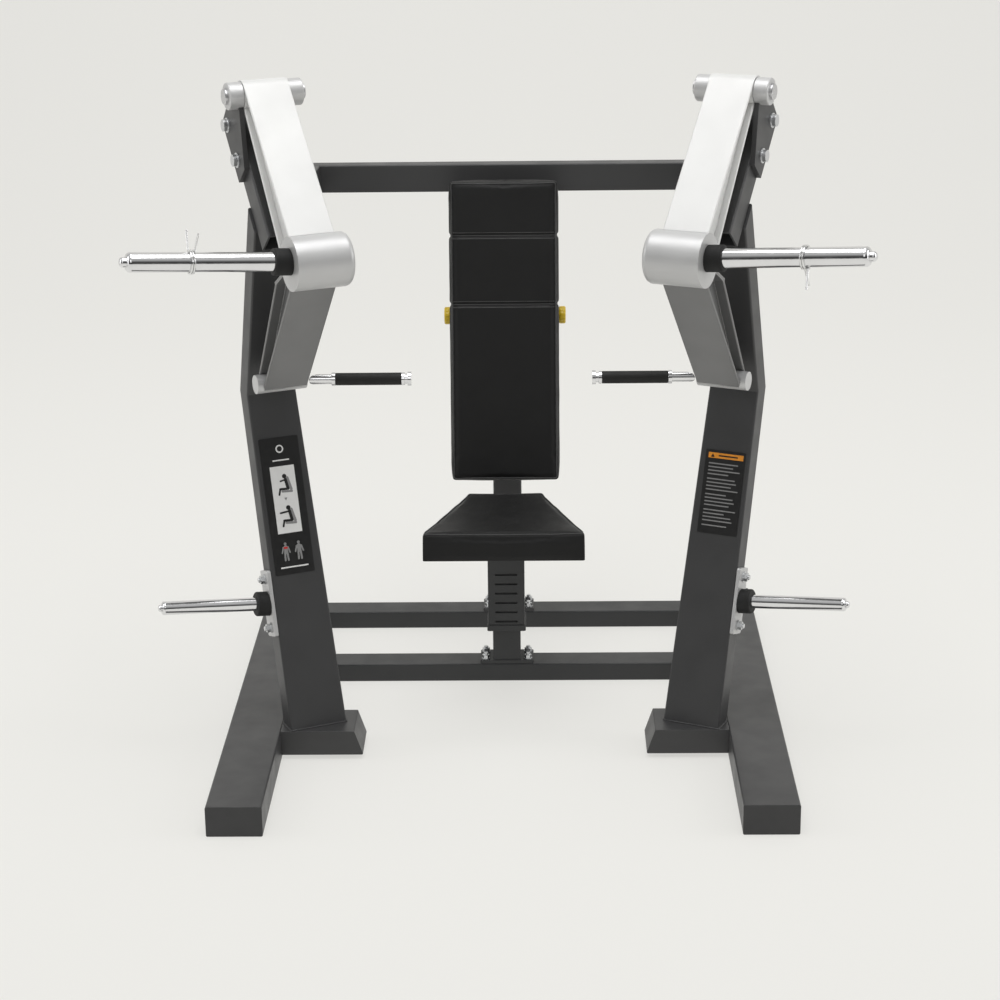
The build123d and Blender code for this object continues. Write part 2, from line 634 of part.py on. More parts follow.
lean_dir = (-math.sin(math.radians(post_lean)), math.cos(math.radians(post_lean)))
with BuildPart() as store_bolts:
    for step in (-STORE_BOLT_STEP, STORE_BOLT_STEP):
        spot = (store_u + lean_dir[0] * step, STORE_Z + lean_dir[1] * step)
        for start, height, round_r in ((plate_face, 3, 13), (plate_face - 12, 5, 6)):
            with BuildSketch(side_plane(start)):
                with Locations(spot):
                    Circle(round_r)
            extrude(amount=height)
        with BuildSketch(side_plane(plate_face - 3)):
            with Locations(spot):
                RegularPolygon(11, 6)
        extrude(amount=9)
save_both(store_bolts.part, "storage_bolts")

# ---------------------------------------------------------------- top frame and column
with BuildPart() as top_bar:
    with BuildSketch(Plane.YZ.offset(-TOP_BAR_HALF + CAP_T)):
        with Locations(bar_middle):
            RectangleRounded(TOP_BAR_D, bar_height, 4)
            RectangleRounded(
                TOP_BAR_D - 2 * TUBE_WALL, bar_height - 2 * TUBE_WALL, 2, mode=Mode.SUBTRACT
            )
    extrude(amount=2 * (TOP_BAR_HALF - CAP_T))
save(top_bar.part, "top_crossbar")

bar_front = column_front - TOP_BAR_D
post_top = at((-190, bar_middle[1]))
arm_start = Vector(-TOP_BAR_HALF + SIDE_ARM_W / 2, bar_front, post_top.Z)
run = Vector(post_top.X + 8, post_top.Y - 30, post_top.Z) - arm_start
arm_back = arm_start - run.normalized() * 20
with BuildPart() as top_side:
    with BuildSketch(Plane(origin=arm_back, x_dir=(0, 0, 1), z_dir=run)):
        RectangleRounded(bar_height, SIDE_ARM_W, 4)
        RectangleRounded(
            bar_height - 2 * TUBE_WALL, SIDE_ARM_W - 2 * TUBE_WALL, 2, mode=Mode.SUBTRACT
        )
    extrude(amount=run.length + 20)
    add(block((-900, 0), (bar_front, bar_front + 100), (1200, 1450)), mode=Mode.SUBTRACT)
    with BuildSketch(side_plane(120)):
        with BuildLine():
            Polyline(*POST_SIDE[1:4], (300, POST_SIDE[3][1]), (300, POST_SIDE[1][1]), close=True)
        make_face()
    extrude(amount=240, mode=Mode.SUBTRACT)
save_both(top_side.part, "top_side_arms")

column_base, guide_half = BAR_H + FOOT_PLATE_T, GUIDE_OUT / 2
with BuildPart() as column:
    with BuildSketch(Plane.XY.offset(column_base)):
        with Locations((0, BACK_BAR_Y)):
            RectangleRounded(COLUMN_X, COLUMN_Y, 5)
            RectangleRounded(COLUMN_X - 8, COLUMN_Y - 8, 2, mode=Mode.SUBTRACT)
    extrude(amount=COLUMN_TOP - CAP_T - column_base)
    with BuildSketch(Plane.XY.offset(BAR_H)):
        with Locations((0, BACK_BAR_Y)):
            RectangleRounded(145, BAR_D - 4, 6)
    extrude(amount=FOOT_PLATE_T)
    add(block((-guide_half, guide_half), (500, 800), (GUIDE_Z - guide_half, GUIDE_Z + guide_half)),
        mode=Mode.SUBTRACT)
save(column.part, "back_column")

with BuildPart() as guide:
    with BuildSketch(Plane.XZ.offset(-GUIDE_Y[1])):
        with Locations((0, GUIDE_Z)):
            Rectangle(GUIDE_OUT, GUIDE_OUT)
            Rectangle(GUIDE_IN, GUIDE_IN, mode=Mode.SUBTRACT)
    extrude(amount=GUIDE_Y[1] - GUIDE_Y[0])
    top = GUIDE_Z + guide_half
    for side in (-26, 26):
        add(block((side - 5, side + 5), (LATCH_Y - 12, LATCH_Y + 12), (top, LATCH_Z + 13)))
    add(rod(Vector(-60, LATCH_Y, LATCH_Z), Vector(1, 0, 0), LATCH_R + 0.06, 120),
        mode=Mode.SUBTRACT)
    add(block((-12, 12), (LATCH_Y - 13.5, LATCH_Y + 24), (GUIDE_Z + 20, top + 1)),
        mode=Mode.SUBTRACT)
save(guide.part, "backrest_guide")

with BuildPart() as latch:
    add(rod(Vector(-KNOB_X[0], LATCH_Y, LATCH_Z), Vector(1, 0, 0), LATCH_R, 2 * KNOB_X[0]))
    room = LATCH_Z - GUIDE_Z - SLIDE / 2 - LOBE_CLEAR
    lobe = math.sqrt(room ** 2 - (LOBE_W / 2) ** 2)       # so that its corners stay clear
    with BuildSketch(Plane.YZ.offset(-9)):
        with Locations((LATCH_Y, LATCH_Z)):
            Circle(11)
        with Locations((LATCH_Y, LATCH_Z - lobe / 2)):
            Rectangle(LOBE_W, lobe)
    extrude(amount=18)
save(latch.part, "backrest_latch_shaft")

with BuildPart() as knobs:
    for start in (-KNOB_X[1], KNOB_X[0]):
        with BuildSketch(Plane.YZ.offset(start)):
            with Locations((LATCH_Y, LATCH_Z)):
                Circle(KNOB_R)
        extrude(amount=KNOB_X[1] - KNOB_X[0])
    fillet(knobs.edges().filter_by(GeomType.CIRCLE), 3)
save(knobs.part, "backrest_latch_knobs")

# ---------------------------------------------------------------- backrest
tilt = math.radians(BACK_TILT)
back_up = Vector(0, math.sin(tilt), math.cos(tilt))
back_out = Vector(0, math.cos(tilt), -math.sin(tilt))     # rearwards, square to the pad
pad_origin = Vector(0, *BACK_BOTTOM)


def back_plane(depth):
    """A plane parallel to the pad's face, that far behind it; local Y runs up the pad."""
    return Plane(origin=pad_origin + back_out * depth, x_dir=(-1, 0, 0), z_dir=back_out)


with BuildPart() as back_pad:
    with BuildSketch(back_plane(0)):
        with Locations((0, BACK_L / 2)):
            RectangleRounded(BACK_W, BACK_L, 10)
    extrude(amount=BACK_T)
    fillet(back_pad.faces().sort_by(Axis.Y)[0].edges(), 9)
save(back_pad.part, "back_pad")

with BuildPart() as board:
    with BuildSketch(back_plane(BACK_T)):
        with Locations((0, BACK_L / 2)):
            RectangleRounded(BACK_W - 16, BACK_L - 16, 10)
    extrude(amount=BOARD_T)
save(board.part, "back_board")

carrier_depth = BACK_T + BOARD_T
with BuildPart() as carrier:
    with BuildSketch(back_plane(carrier_depth)):
        with Locations((0, 370)):
            RectangleRounded(CARRIER_W, CARRIER_L, 6)
    extrude(amount=CARRIER_D)
    for height in (120, 620):
        with BuildSketch(back_plane(carrier_depth)):
            with Locations((0, height)):
                RectangleRounded(180, 40, 8)
        extrude(amount=TUBE_WALL)
    with BuildSketch(back_plane(carrier_depth + TUBE_WALL)):
        with Locations((0, 370)):
            Rectangle(CARRIER_W - 2 * TUBE_WALL, CARRIER_L)
    extrude(amount=CARRIER_D - 2 * TUBE_WALL, mode=Mode.SUBTRACT)
save(carrier.part, "back_carrier")

with BuildPart() as slide_bar:
    add(block((-SLIDE / 2, SLIDE / 2), (440, GUIDE_Y[1] + 7),
              (GUIDE_Z - SLIDE / 2, GUIDE_Z + SLIDE / 2)))
    with BuildSketch(back_plane(carrier_depth + CARRIER_D)):
        Rectangle(600, 2000)
    extrude(amount=-400, mode=Mode.SUBTRACT)
    fillet(slide_bar.edges().filter_by(Axis.Y), 2)
save(slide_bar.part, "backrest_slide_bar")

# ---------------------------------------------------------------- seat
seat_slope = math.radians(SEAT_TILT)
seat_back = Vector(0, math.cos(seat_slope), -math.sin(seat_slope))
seat_up = Vector(0, math.sin(seat_slope), math.cos(seat_slope))
seat_origin = Vector(0, *SEAT_FRONT)


def seat_plane(depth):
    """A plane parallel to the seat's top, that far below it; local Y runs to the back."""
    return Plane(origin=seat_origin - seat_up * depth, x_dir=(1, 0, 0), z_dir=seat_up)


with BuildPart() as seat_pad:
    with BuildSketch(seat_plane(SEAT_T)):
        with BuildLine():
            Polyline((-SEAT_W[0] / 2, 0), (SEAT_W[0] / 2, 0), (SEAT_W[0] / 2, 26),
                     (SEAT_W[1] / 2, SEAT_DEPTH), (-SEAT_W[1] / 2, SEAT_DEPTH),
                     (-SEAT_W[0] / 2, 26), close=True)
        make_face()
        fillet(vertices(), 8)
    extrude(amount=SEAT_T)
    fillet(seat_pad.faces().sort_by(Axis.Z)[-1].edges(), 8)
save(seat_pad.part, "seat_pad")

with BuildPart() as seat_plate:
    with BuildSketch(seat_plane(SEAT_T + SEAT_PLATE_T)):
        with Locations((0, 225)):
            RectangleRounded(150, 320, 10)
    extrude(amount=SEAT_PLATE_T)
    for side in (-30, 24):
        with BuildSketch(Plane.YZ.offset(side)):
            with BuildLine():
                Polyline((40, 470), (FRONT_BAR_Y - SLEEVE_OUT / 2, 470),
                         (FRONT_BAR_Y - SLEEVE_OUT / 2, 385), close=True)
            make_face()
        extrude(amount=6)
    with BuildSketch(seat_plane(SEAT_T)):
        Rectangle(900, 1600)
    extrude(amount=120, mode=Mode.SUBTRACT)
save(seat_plate.part, "seat_bracket")

sleeve_rear = FRONT_BAR_Y + SLEEVE_OUT / 2
with BuildPart() as sleeve:
    with BuildSketch(Plane.XY.offset(SLEEVE_Z[0])):
        with Locations((0, FRONT_BAR_Y)):
            RectangleRounded(SLEEVE_OUT, SLEEVE_OUT, 5)
            Rectangle(SLEEVE_IN, SLEEVE_IN, mode=Mode.SUBTRACT)
    extrude(amount=SLEEVE_Z[1] - SLEEVE_Z[0])
    with BuildSketch(Plane.XY.offset(SLEEVE_Z[0])):
        with Locations((0, FRONT_BAR_Y)):
            RectangleRounded(SLEEVE_OUT + 6, SLEEVE_OUT + 6, 6)
            Rectangle(SLEEVE_IN, SLEEVE_IN, mode=Mode.SUBTRACT)
    extrude(amount=16)
    sleeve_front = FRONT_BAR_Y - SLEEVE_OUT / 2
    for k in range(SLOT_COUNT):
        z = SLOT_TOP - k * SLOT_PITCH
        add(block((-30, 30), (sleeve_front - 1, sleeve_front + 5), (z - 3, z + 3)),
            mode=Mode.SUBTRACT)
    with BuildSketch(seat_plane(SEAT_T + SEAT_PLATE_T)):
        Rectangle(900, 1600)
    extrude(amount=120, mode=Mode.SUBTRACT)
    with BuildSketch(Plane.XZ.offset(-sleeve_rear)):
        with Locations((0, LATCH_PIN_Z)):
            Circle(BARREL_R)
    extrude(amount=-BARREL_L)
    with BuildSketch(Plane.XZ.offset(-FRONT_BAR_Y)):
        with Locations((0, LATCH_PIN_Z)):
            Circle(LATCH_PIN_R + RUN_GAP)
    extrude(amount=-SLEEVE_OUT - BARREL_L, mode=Mode.SUBTRACT)
save(sleeve.part, "seat_sleeve")

with BuildPart() as seat_post:
    with BuildSketch(Plane.XY.offset(BAR_H + FOOT_PLATE_T)):
        with Locations((0, FRONT_BAR_Y)):
            RectangleRounded(SEAT_TUBE, SEAT_TUBE, 4)
            RectangleRounded(SEAT_TUBE - 8, SEAT_TUBE - 8, 2, mode=Mode.SUBTRACT)
    extrude(amount=325)
    with BuildSketch(Plane.XY.offset(BAR_H)):
        with Locations((0, FRONT_BAR_Y)):
            RectangleRounded(145, BAR_D - 4, 6)
    extrude(amount=FOOT_PLATE_T)
save(seat_post.part, "seat_post")

pin_front = FRONT_BAR_Y + SEAT_TUBE / 2 + LATCH_CLEAR
knob_front = sleeve_rear + BARREL_L + 1
with BuildPart() as seat_pin:
    with BuildSketch(Plane.XZ.offset(-pin_front)):
        with Locations((0, LATCH_PIN_Z)):
            Circle(LATCH_PIN_R)
    extrude(amount=pin_front - knob_front - 12)
save(seat_pin.part, "seat_latch_pin")

with BuildPart() as seat_knob:
    with BuildSketch(Plane.XZ.offset(-knob_front)):
        with Locations((0, LATCH_PIN_Z)):
            Circle(SEAT_KNOB_R)
    extrude(amount=-SEAT_KNOB_L)
    fillet(seat_knob.edges().filter_by(GeomType.CIRCLE), 3)
    with BuildSketch(Plane.XZ.offset(-knob_front)):
        with Locations((0, LATCH_PIN_Z)):
            Circle(LATCH_PIN_R)
    extrude(amount=-12, mode=Mode.SUBTRACT)
save(seat_knob.part, "seat_latch_knob")

with BuildPart() as base_bolts:
    for y in (FRONT_BAR_Y, BACK_BAR_Y):
        for x in (-58, 58):
            for step in (-26, 26):
                spot = Vector(x, y + step, BAR_H + FOOT_PLATE_T)
                add(rod(spot, Vector(0, 0, 1), 11, 2.5))
                with BuildSketch(Plane.XY.offset(BAR_H + FOOT_PLATE_T + 2.5)):
                    with Locations((x, y + step)):
                        RegularPolygon(10, 6)
                extrude(amount=9)
                add(rod(spot + Vector(0, 0, 11.5), Vector(0, 0, 1), 5.5, 5))
save(base_bolts.part, "base_bolts")

# ---------------------------------------------------------------- placards
post_face_dir = FORWARD * POST_SIDE[5][0] + Vector(0, 0, POST_SIDE[5][1] - POST_SIDE[0][1])
face_normal = INBOARD.cross(post_face_dir).normalized()
PLACARDS = (("instruction_placard", -1, 0.664, 104, 348), ("notice_placard", 1, 0.694, 106, 212))
for name, side, share, width, height in PLACARDS:
    middle = at(POST_SIDE[0]) + post_face_dir * share
    with BuildPart() as placard:
        with BuildSketch(Plane(origin=middle, x_dir=INBOARD, z_dir=face_normal)):
            RectangleRounded(width, height, 3)
        extrude(amount=1.2)
    if side < 0:
        save(placard.part, name)
    else:
        with BuildPart() as mirrored:
            mirror(placard.part, about=Plane.YZ)
        save(mirrored.part, name)
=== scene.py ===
"""Looks of the chest press machine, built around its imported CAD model. Lengths are in metres."""

import math

import bmesh
import bpy
from mathutils import Matrix, Vector, noise
from mathutils.bvhtree import BVHTree
from mathutils.geometry import convex_hull_2d


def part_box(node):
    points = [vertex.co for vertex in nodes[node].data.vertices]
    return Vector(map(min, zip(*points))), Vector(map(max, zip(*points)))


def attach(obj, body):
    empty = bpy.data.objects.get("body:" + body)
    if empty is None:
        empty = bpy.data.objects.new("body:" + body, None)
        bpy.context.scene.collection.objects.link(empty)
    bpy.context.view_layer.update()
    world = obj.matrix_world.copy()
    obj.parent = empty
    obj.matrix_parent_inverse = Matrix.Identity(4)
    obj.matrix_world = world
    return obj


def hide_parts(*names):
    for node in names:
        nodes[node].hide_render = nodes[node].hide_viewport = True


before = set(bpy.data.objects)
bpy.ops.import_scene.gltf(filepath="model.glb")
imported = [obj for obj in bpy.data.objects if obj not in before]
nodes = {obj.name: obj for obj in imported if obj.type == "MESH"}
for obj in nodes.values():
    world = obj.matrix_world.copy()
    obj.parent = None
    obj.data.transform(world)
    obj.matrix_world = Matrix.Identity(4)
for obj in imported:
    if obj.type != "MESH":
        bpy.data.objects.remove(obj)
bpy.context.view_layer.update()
scene = bpy.context.scene

SIDES = ("left", "right")

# ---------------------------------------------------------------- camera
CAMERA_AT = (0.0960, -5.887, 2.510)
CAMERA_DOWN, CAMERA_TURN = math.radians(18.03), math.radians(1.031)
CAMERA_ROLL = math.radians(-0.678)
CAMERA_LENS, SENSOR = 86.4, 36.0


def add_camera():
    data = bpy.data.cameras.new("camera")
    data.lens, data.sensor_width = CAMERA_LENS, SENSOR
    camera = bpy.data.objects.new("camera", data)
    camera.location = CAMERA_AT
    aim = (Matrix.Rotation(CAMERA_TURN, 4, "Z") @ Matrix.Rotation(math.pi / 2 - CAMERA_DOWN, 4, "X")
           @ Matrix.Rotation(CAMERA_ROLL, 4, "Z"))
    camera.rotation_euler = aim.to_euler()
    scene.collection.objects.link(camera)
    scene.camera = camera


# ---------------------------------------------------------------- materials
def shaded(name, color, roughness, metallic=0.0, **sockets):
    """A material with its principled shader, and a helper that adds nodes to it."""
    material = bpy.data.materials.new(name)
    material.use_nodes = True
    tree = material.node_tree
    shader = tree.nodes["Principled BSDF"]
    shader.inputs["Base Color"].default_value = (*color, 1)
    shader.inputs["Roughness"].default_value = roughness
    shader.inputs["Metallic"].default_value = metallic
    for socket, value in sockets.items():
        shader.inputs[socket.replace("_", " ")].default_value = value
    return material, tree, shader


def node(tree, kind, inputs=None, **settings):
    """A new shader node; its inputs are given as links or as values."""
    made = tree.nodes.new(kind)
    for key, value in settings.items():
        setattr(made, key, value)
    for key, value in (inputs or {}).items():
        if isinstance(value, bpy.types.NodeSocket):
            tree.links.new(value, made.inputs[key])
        else:
            made.inputs[key].default_value = value
    return made


def place(tree):
    return node(tree, "ShaderNodeTexCoord").outputs["Object"]


def scaled(color, factor):
    return tuple(min(1.0, c * factor) for c in color)


def mottled(tree, shader, where, color, spread, scale):
    """Slow colour variation over the surface; gives the colour socket it made."""
    cloud = node(tree, "ShaderNodeTexNoise", {"Vector": where, "Scale": scale, "Detail": 5.0})
    ramp = node(tree, "ShaderNodeMix", {"Factor": cloud.outputs["Fac"],
                                        "A": (*scaled(color, 1 - spread), 1),
                                        "B": (*scaled(color, 1 + spread), 1)}, data_type="RGBA")
    tree.links.new(ramp.outputs["Result"], shader.inputs["Base Color"])
    return ramp.outputs["Result"]


def rough_patches(tree, shader, where, low, high, scale):
    """Roughness that drifts between two values over the surface."""
    cloud = node(tree, "ShaderNodeTexNoise", {"Vector": where, "Scale": scale, "Detail": 3.0})
    spread = node(tree, "ShaderNodeMapRange", {"Value": cloud.outputs["Fac"], "From Min": 0.3,
                                               "From Max": 0.7, "To Min": low, "To Max": high})
    tree.links.new(spread.outputs["Result"], shader.inputs["Roughness"])


def edge_highlight_paint(tree, shader, color_socket, highlight_color, radius, strength):
    """Paints hard edges a little lighter, as a painted highlight; gives their softened normal."""
    soft = node(tree, "ShaderNodeBevel", {"Radius": radius}, samples=4)
    true = node(tree, "ShaderNodeNewGeometry").outputs["Normal"]
    match = node(tree, "ShaderNodeVectorMath", {0: soft.outputs["Normal"], 1: true},
                 operation="DOT_PRODUCT")
    # Where the bevelled normal turns away from the true one, the colour is mixed towards the
    # painted highlight.
    highlight_mask = node(tree, "ShaderNodeMapRange", {"Value": match.outputs["Value"], "From Min": 0.995,
                                             "From Max": 0.85, "To Min": 0.0, "To Max": strength})
    mix = node(tree, "ShaderNodeMix", {"Factor": highlight_mask.outputs["Result"], "A": color_socket,
                                       "B": (*highlight_color, 1)}, data_type="RGBA")
    tree.links.new(mix.outputs["Result"], shader.inputs["Base Color"])
    return soft.outputs["Normal"]


def bumped(tree, shader, height, distance, strength, normal=None):
    inputs = {"Height": height, "Distance": distance, "Strength": strength}
    if normal is not None:
        inputs["Normal"] = normal
    bump = node(tree, "ShaderNodeBump", inputs)
    tree.links.new(bump.outputs["Normal"], shader.inputs["Normal"])


def powder_coat(name, color, roughness, edge, metallic=0.0, sparkle=0.05, edge_highlight_strength=0.5):
    """Baked powder paint: fine orange peel, with a painted highlight that makes it slightly lighter
    along its edges.
    """
    material, tree, shader = shaded(name, color, roughness, metallic)
    where = place(tree)
    tint = mottled(tree, shader, where, color, sparkle, 9.0)
    # The edge colour goes on hard edges as a painted highlight.
    normal = edge_highlight_paint(tree, shader, tint, edge, 0.0016, edge_highlight_strength)
    rough_patches(tree, shader, where, roughness - 0.05, roughness + 0.06, 14.0)
    peel = node(tree, "ShaderNodeTexNoise", {"Vector": where, "Scale": 650.0, "Detail": 2.0})
    bumped(tree, shader, peel.outputs["Fac"], 0.0004, 0.35, normal)
    return material


def bare_metal(name, color, roughness, streak=(1.0, 1.0, 1.0), depth=0.00012):
    """Machined or plated metal, with fine marks stretched along one direction."""
    material, tree, shader = shaded(name, color, roughness, 1.0)
    where = place(tree)
    mottled(tree, shader, where, color, 0.05, 22.0)
    rough_patches(tree, shader, where, max(0.03, roughness - 0.04), roughness + 0.05, 35.0)
    stretched = node(tree, "ShaderNodeMapping", {"Vector": where, "Scale": streak})
    marks = node(tree, "ShaderNodeTexNoise", {"Vector": stretched.outputs["Vector"],
                                              "Scale": 420.0, "Detail": 3.0})
    normal = node(tree, "ShaderNodeBevel", {"Radius": 0.0008}, samples=4).outputs["Normal"]
    bumped(tree, shader, marks.outputs["Fac"], depth, 0.3, normal)
    return material


def moulded(name, color, roughness, grain, depth, **sockets):
    """Rubber or plastic from a mould, with a fine pebbled grain."""
    material, tree, shader = shaded(name, color, roughness, **sockets)
    where = place(tree)
    tint = mottled(tree, shader, where, color, 0.10, 18.0)
    # Hard edges get a lighter tone of the colour as a painted highlight.
    normal = edge_highlight_paint(tree, shader, tint, scaled(color, 1.9), 0.0012, 0.35)
    rough_patches(tree, shader, where, roughness - 0.06, roughness + 0.08, 30.0)
    pebbles = node(tree, "ShaderNodeTexNoise", {"Vector": where, "Scale": grain, "Detail": 4.0})
    bumped(tree, shader, pebbles.outputs["Fac"], depth, 0.5, normal)
    return material


def vinyl(name, color, roughness):
    """Upholstery vinyl: pressed leather grain of small cells, with soft creases."""
    material, tree, shader = shaded(name, color, roughness, Specular_IOR_Level=0.22)
    where = place(tree)
    mottled(tree, shader, where, color, 0.14, 11.0)
    rough_patches(tree, shader, where, roughness - 0.05, roughness + 0.08, 16.0)
    wobble = node(tree, "ShaderNodeTexNoise", {"Vector": where, "Scale": 90.0, "Detail": 2.0})
    bent = node(tree, "ShaderNodeMix", {"Factor": 0.004, "A": where,
                                        "B": wobble.outputs["Color"]}, data_type="VECTOR")
    cells = node(tree, "ShaderNodeTexVoronoi", {"Vector": bent.outputs["Result"],
                                                "Scale": 620.0}, feature="DISTANCE_TO_EDGE")
    valleys = node(tree, "ShaderNodeMapRange", {"Value": cells.outputs["Distance"],
                                                "From Max": 0.25})
    creases = node(tree, "ShaderNodeTexNoise", {"Vector": where, "Scale": 38.0, "Detail": 6.0})
    height = node(tree, "ShaderNodeMath", {0: valleys.outputs["Result"],
                                           1: creases.outputs["Fac"]}, operation="ADD")
    bumped(tree, shader, height.outputs["Value"], 0.0004, 0.32)
    return material


def plain_print(name, color):
    """Flat ink on a placard."""
    material, tree, shader = shaded(name, color, 0.35)
    where = place(tree)
    mottled(tree, shader, where, color, 0.04, 60.0)
    rough_patches(tree, shader, where, 0.3, 0.42, 90.0)
    return material


MATERIALS = {
    # Each coat's edge colour below is a painted highlight along its hard edges.
    "frame": powder_coat("charcoal_coat", (0.044, 0.044, 0.045), 0.42, (0.17, 0.17, 0.17)),
    "base": powder_coat("base_coat", (0.030, 0.031, 0.032), 0.46, (0.10, 0.10, 0.10)),
    "arm": powder_coat("silver_white_coat", (0.70, 0.70, 0.69), 0.42, (0.9, 0.9, 0.9), 0.12),
    "drum": powder_coat("silver_coat", (0.57, 0.57, 0.57), 0.40, (0.85, 0.85, 0.85), 0.42),
    # The lower arm's silver coat is darkened to grey here: painted shade for its faces that turn
    # down, away from the light.
    "lower": powder_coat("silver_coat_painted_shade", (0.21, 0.21, 0.21), 0.36, (0.9, 0.9, 0.9), 0.45,
                         edge_highlight_strength=0.8),
    "steel": bare_metal("satin_steel", (0.62, 0.62, 0.63), 0.28),
    "zinc": bare_metal("zinc_plate", (0.66, 0.67, 0.68), 0.34, depth=0.0002),
    "chrome": bare_metal("polished_chrome", (0.78, 0.78, 0.79), 0.11, (0.15, 1, 1), 0.00004),
    "wire": bare_metal("spring_wire", (0.80, 0.80, 0.80), 0.16),
    "rubber": moulded("moulded_rubber", (0.014, 0.014, 0.014), 0.62, 900.0, 0.0003,
                      Specular_IOR_Level=0.3),
    "grip": moulded("ribbed_grip", (0.012, 0.012, 0.011), 0.58, 700.0, 0.0004,
                    Specular_IOR_Level=0.35),
    "cap": moulded("end_cap_plastic", (0.040, 0.040, 0.041), 0.50, 1100.0, 0.0002),
    "knob": moulded("yellow_plastic", (0.72, 0.50, 0.015), 0.34, 800.0, 0.0001),
    "black": moulded("black_plastic", (0.018, 0.018, 0.018), 0.40, 800.0, 0.0002),
    "board": moulded("painted_board", (0.020, 0.019, 0.018), 0.66, 260.0, 0.0004),
    "vinyl": vinyl("black_vinyl", (0.0125, 0.0125, 0.0125), 0.46),
    # The welts are a lighter grey than the pad vinyl: a painted highlight along the seams and the
    # pad edges.
    "welt": vinyl("welt_vinyl_painted_highlight", (0.060, 0.060, 0.060), 0.42),
    "thread": moulded("grey_thread", (0.16, 0.16, 0.16), 0.70, 2500.0, 0.0002),
    "sheet": plain_print("black_print", (0.012, 0.012, 0.012)),
    "white_print": plain_print("white_print", (0.78, 0.78, 0.77)),
    "grey_print": plain_print("grey_print", (0.26, 0.26, 0.26)),
    "red_print": plain_print("red_print", (0.55, 0.03, 0.03)),
    "orange_print": plain_print("orange_print", (0.80, 0.30, 0.03)),
}

NODE_LOOKS = {
    "frame": ["post", "top_boom", "foot_tubes", "pivot_cheeks", "top_side_arms", "top_crossbar",
              "back_column", "backrest_guide", "base_rail"],
    "base": ["front_base_bar", "back_base_bar", "seat_post", "seat_sleeve", "seat_bracket",
             "back_carrier"],
    "arm": ["upper_arm"],
    "drum": ["elbow_drum", "pivot_bosses", "arm_pivot_tube", "handle_cross_tube",
             "storage_plates"],
    "lower": ["lower_arm"],
    "steel": ["arm_bearings", "seat_latch_pin", "backrest_latch_shaft", "pivot_axles"],
    "zinc": ["cheek_bolts", "storage_bolts", "base_bolts"],
    "chrome": ["weight_horn", "handle_bar", "storage_horns", "backrest_slide_bar"],
    "wire": ["spring_collar"],
    "rubber": ["horn_bumper", "storage_bumpers", "arm_stop_bumpers"],
    "grip": ["handle_grip"],
    "cap": ["tube_end_caps"],
    "knob": ["backrest_latch_knobs"],
    "black": ["seat_latch_knob"],
    "board": ["back_board"],
    "vinyl": ["seat_pad", "back_pad"],
    "sheet": ["instruction_placard", "notice_placard"],
}


def dress(thing, look):
    thing.data.materials.clear()
    thing.data.materials.append(MATERIALS[look])


def dress_nodes():
    """Gives each CAD node its material, on both sides where it comes in a pair."""
    for look, names in NODE_LOOKS.items():
        for name in names:
            for full in (name, *[f"{side}_{name}" for side in SIDES]):
                if full in nodes:
                    dress(nodes[full], look)


# ---------------------------------------------------------------- mesh helpers
def link_mesh(name, mesh_bm, looks, smooth=True):
    """Turns a finished bmesh into an object that wears these looks."""
    mesh = bpy.data.meshes.new(name)
    bmesh.ops.recalc_face_normals(mesh_bm, faces=mesh_bm.faces)
    mesh_bm.to_mesh(mesh)
    mesh_bm.free()
    if smooth:
        mesh.shade_smooth()
    thing = bpy.data.objects.new(name, mesh)
    scene.collection.objects.link(thing)
    for look in looks:
        mesh.materials.append(MATERIALS[look])
    return thing


def tube(bm, path, radius, closed=False, sides=10, ripple=None):
    """Adds a round tube along the path; ripple(i) scales the radius at each point."""
    count = len(path)
    rings = []
    normal = None
    for i, point in enumerate(path):
        before = path[i - 1] if i or closed else path[0]
        after = path[(i + 1) % count] if i < count - 1 or closed else path[-1]
        tangent = (after - before).normalized()
        if normal is None:
            normal = tangent.orthogonal().normalized()
        normal = (normal - tangent * normal.dot(tangent)).normalized()
        side = tangent.cross(normal)
        size = radius * (ripple(i) if ripple else 1.0)
        rings.append([bm.verts.new(point + (normal * math.cos(a) + side * math.sin(a)) * size)
                      for a in [2 * math.pi * k / sides for k in range(sides)]])
    pairs = list(zip(rings, rings[1:])) + ([(rings[-1], rings[0])] if closed else [])
    for low, high in pairs:
        for k in range(sides):
            bm.faces.new((low[k], low[(k + 1) % sides], high[(k + 1) % sides], high[k]))
    if not closed:
        bm.faces.new(rings[0])
        bm.faces.new(rings[-1][::-1])


# ---------------------------------------------------------------- pads
VOXEL = 0.004
PAD_INSET = 0.0015        # each pad starts this much smaller, and swells back
PAD_PRESSURE, PAD_CAP = 2.0, 0.003
PAD_BASE = 0.008          # the lowest part of each pad, which stays flat on its board
CLOTH_FRAMES = 20
BACK_TILT, BACK_THICK = math.radians(10.0), 0.060
BACK_SEAMS = (0.592, 0.820)               # shares of the back pad's length
SEAT_TILT, SEAT_THICK = math.radians(2.6), 0.074
SEAT_FRONT_BAND, SEAT_REAR_HALF = 0.026, 0.104
SEAM_DEPTH, SEAM_WIDTH = 0.0045, 0.0055
WRINKLE, WRINKLE_RATE = 0.0006, 22.0
STITCH, STITCH_STEP, STITCH_GAP = 0.0036, 0.0058, 0.008
THREAD_R, WELT_R, PIPING_R = 0.00055, 0.0017, 0.0018


class PadFrame:
    """A pad's own directions: across it, up along it, and out of its face."""

    def __init__(self, origin, along, out):
        self.origin, self.along, self.out = origin, along.normalized(), out.normalized()
        self.across = Vector((1, 0, 0))

    def local(self, point):
        gap = point - self.origin
        return Vector((gap.dot(self.across), gap.dot(self.along), gap.dot(self.out)))

    def world(self, across, along, out):
        return self.origin + self.across * across + self.along * along + self.out * out


